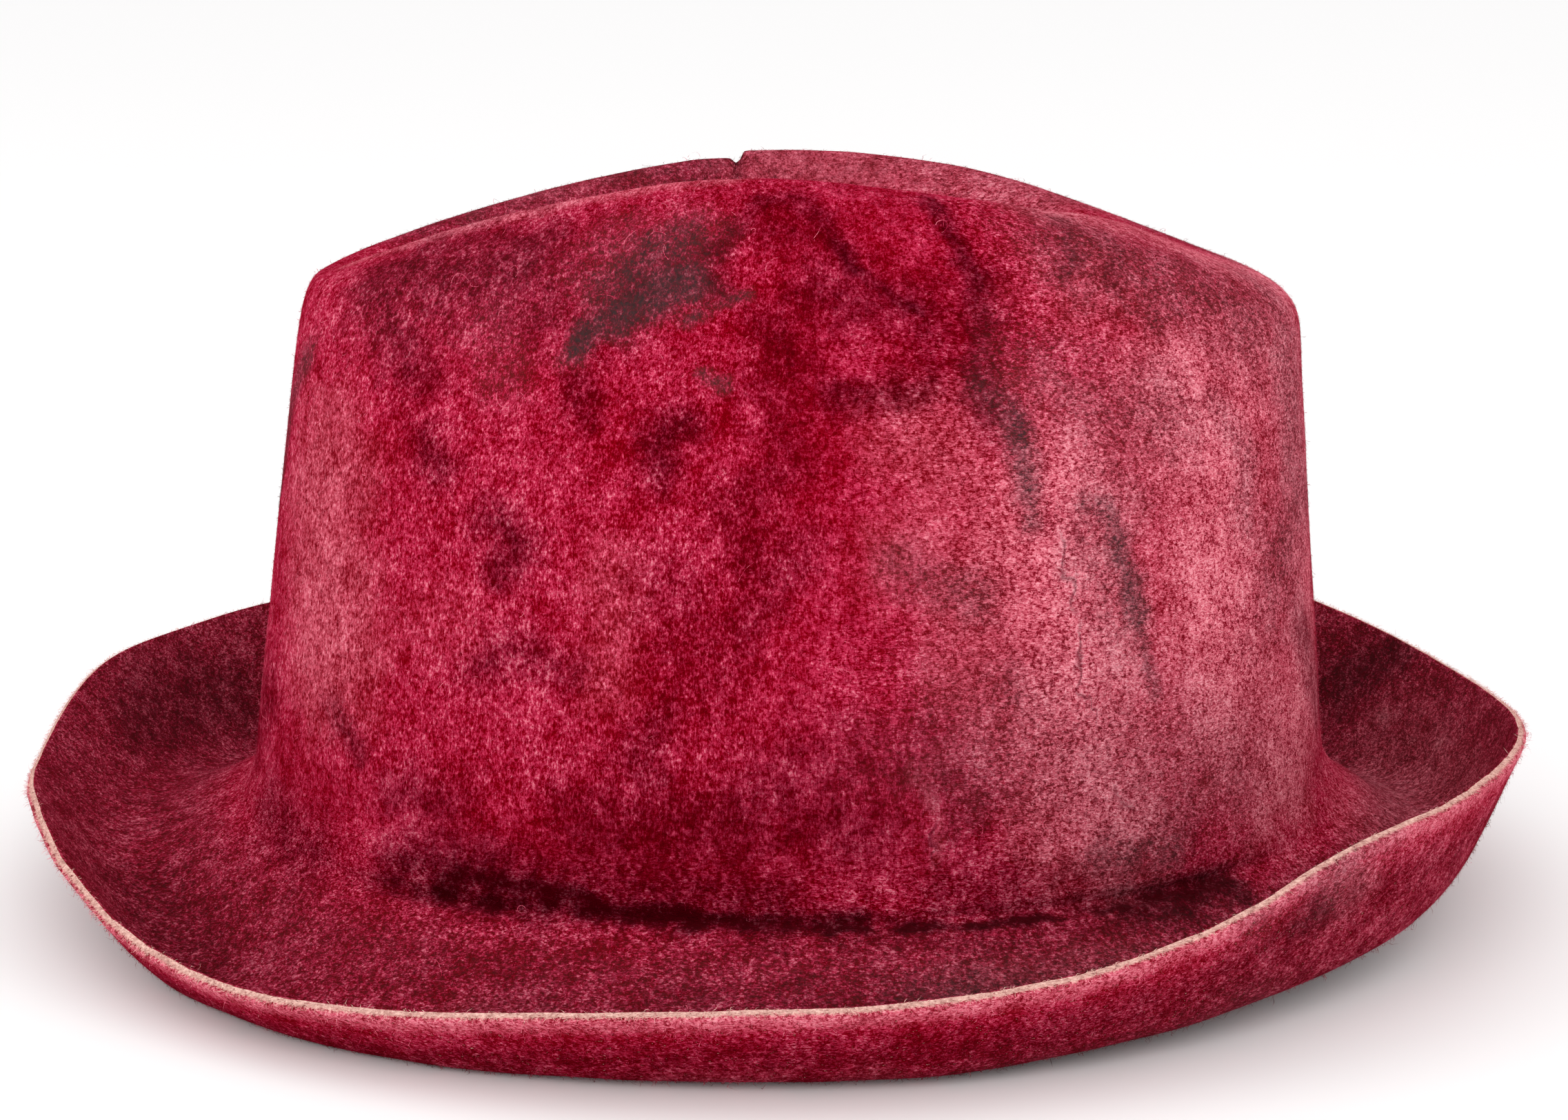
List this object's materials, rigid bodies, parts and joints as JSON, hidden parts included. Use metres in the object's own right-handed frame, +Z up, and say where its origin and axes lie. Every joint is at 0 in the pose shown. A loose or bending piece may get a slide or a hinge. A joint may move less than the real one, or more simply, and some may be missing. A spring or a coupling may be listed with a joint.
{
  "type": "felt fedora hat",
  "caption": "Soft felt fedora with a teardrop dent in its crown, no band, and a brim that rolls up all round to a raw cut edge.",
  "frame": {"origin": "on the surface that the hat rests on, under the middle of its outline", "axes": "+X towards the back of the hat, -X its front, -Y its near side, +Y its far side, +Z up"},
  "size_m": [0.2976, 0.26, 0.1474],
  "materials": {
    "felt": "brushed crimson wool felt, hand dyed with maroon and grey blotches, pale undyed core at the raw edge"
  },
  "bodies": {
    "root": {"felt_body": "felt"}
  },
  "joints": []
}
